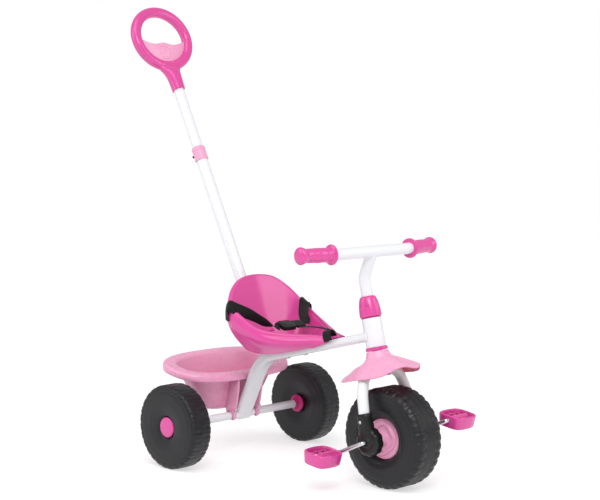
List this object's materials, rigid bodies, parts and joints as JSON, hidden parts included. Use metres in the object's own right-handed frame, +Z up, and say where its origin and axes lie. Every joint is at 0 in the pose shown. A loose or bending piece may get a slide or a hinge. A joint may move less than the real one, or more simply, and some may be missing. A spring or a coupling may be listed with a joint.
{
  "type": "tricycle",
  "caption": "Child's tricycle with a bucket seat, a lap belt, pedals on the front wheel, a rear tipping bucket and a push rod that ends in a ring handle.",
  "frame": {"origin": "on the floor, at the centre of the whole tricycle's bounding box", "axes": "+X forward towards the front wheel, +Y to the rider's left, +Z up; the steering points straight ahead and the wheels stand on Z = 0"},
  "size_m": [0.8961, 0.479, 1.0622],
  "materials": {
    "white_paint": "gloss powder coat",
    "bright_steel": "zinc plated",
    "pink_plastic": "satin gloss",
    "deep_pink_plastic": "satin gloss",
    "pale_pink_plastic": "satin gloss",
    "charcoal_plastic": "matt",
    "black_plastic": "satin",
    "black_webbing": "woven"
  },
  "bodies": {
    "frame": {"frame": "white_paint", "rear_axle": "bright_steel", "axle_push_nut_left": "bright_steel", "axle_push_nut_right": "bright_steel", "seat": "pink_plastic", "seat_bolt_front": "bright_steel", "seat_bolt_rear": "bright_steel", "seat_nut_front": "bright_steel", "seat_nut_rear": "bright_steel", "head_bush_lower": "deep_pink_plastic", "head_bush_upper": "deep_pink_plastic", "push_rod_lower": "white_paint", "rod_coupling": "pale_pink_plastic", "lap_strap_left": "black_webbing", "lap_strap_right": "black_webbing", "crotch_strap": "black_webbing", "nose_band": "black_webbing", "belt_loop": "black_plastic", "buckle_body": "black_plastic", "buckle_tongue": "black_plastic"},
    "coupling_button": {"coupling_button": "black_plastic"},
    "steering": {"fork": "white_paint", "handlebar": "white_paint", "grip_left": "pink_plastic", "grip_right": "pink_plastic", "steering_collar": "pink_plastic", "collar_screw": "bright_steel", "fender_skirt": "pale_pink_plastic", "fork_cover_left": "black_plastic", "fork_cover_right": "black_plastic", "fork_cover_screw_left": "bright_steel", "fork_cover_screw_right": "bright_steel"},
    "front_wheel": {"front_wheel": "charcoal_plastic", "front_hub_disc_left": "pale_pink_plastic", "front_hub_disc_right": "pale_pink_plastic", "crank": "bright_steel", "pedal_push_nut_left": "bright_steel", "pedal_push_nut_right": "bright_steel"},
    "pedal_left": {"pedal_left": "pink_plastic"},
    "pedal_right": {"pedal_right": "pink_plastic"},
    "rear_wheel_left": {"rear_wheel_left": "charcoal_plastic", "rear_bush_left": "deep_pink_plastic", "hub_cap_left": "pink_plastic"},
    "rear_wheel_right": {"rear_wheel_right": "charcoal_plastic", "rear_bush_right": "deep_pink_plastic", "hub_cap_right": "pink_plastic"},
    "bucket": {"bucket": "pale_pink_plastic", "bucket_screw_left": "bright_steel", "bucket_screw_right": "bright_steel"},
    "push_handle": {"push_rod_upper": "white_paint", "ring_handle": "pink_plastic", "handle_insert": "pale_pink_plastic"}
  },
  "joints": [
    {"name": "steering_turn", "type": "hinge", "parent": "frame", "child": "steering", "pos_m": [0.3397, 0, 0.1087], "axis": [-0.2419, 0, 0.9703], "range_deg": [-45, 45]},
    {"name": "front_wheel_spin", "type": "hinge", "parent": "steering", "child": "front_wheel", "pos_m": [0.3397, 0, 0.1087], "axis": [0, 1, 0], "continuous": true},
    {"name": "pedal_left_spin", "type": "hinge", "parent": "front_wheel", "child": "pedal_left", "pos_m": [0.40684, 0.1408, 0.13859], "axis": [0, 1, 0], "continuous": true},
    {"name": "pedal_right_spin", "type": "hinge", "parent": "front_wheel", "child": "pedal_right", "pos_m": [0.27255, -0.1408, 0.07881], "axis": [0, 1, 0], "continuous": true},
    {"name": "rear_wheel_left_spin", "type": "hinge", "parent": "frame", "child": "rear_wheel_left", "pos_m": [-0.1273, 0.2095, 0.0955], "axis": [0, 1, 0], "continuous": true},
    {"name": "rear_wheel_right_spin", "type": "hinge", "parent": "frame", "child": "rear_wheel_right", "pos_m": [-0.1273, -0.2095, 0.0955], "axis": [0, 1, 0], "continuous": true},
    {"name": "bucket_tip", "type": "hinge", "parent": "frame", "child": "bucket", "pos_m": [-0.1273, 0, 0.0955], "axis": [0, -1, 0], "range_deg": [0, 45]},
    {"name": "push_handle_slide", "type": "slide", "parent": "frame", "child": "push_handle", "axis": [-0.4431, 0, 0.8965], "range_m": [-0.14, 0]},
    {"name": "coupling_button_press", "type": "slide", "parent": "frame", "child": "coupling_button", "axis": [0.7172, 0.6, 0.3545], "range_m": [0, 0.002], "stiffness_N_per_m": 1500, "springref_m": -0.001}
  ]
}
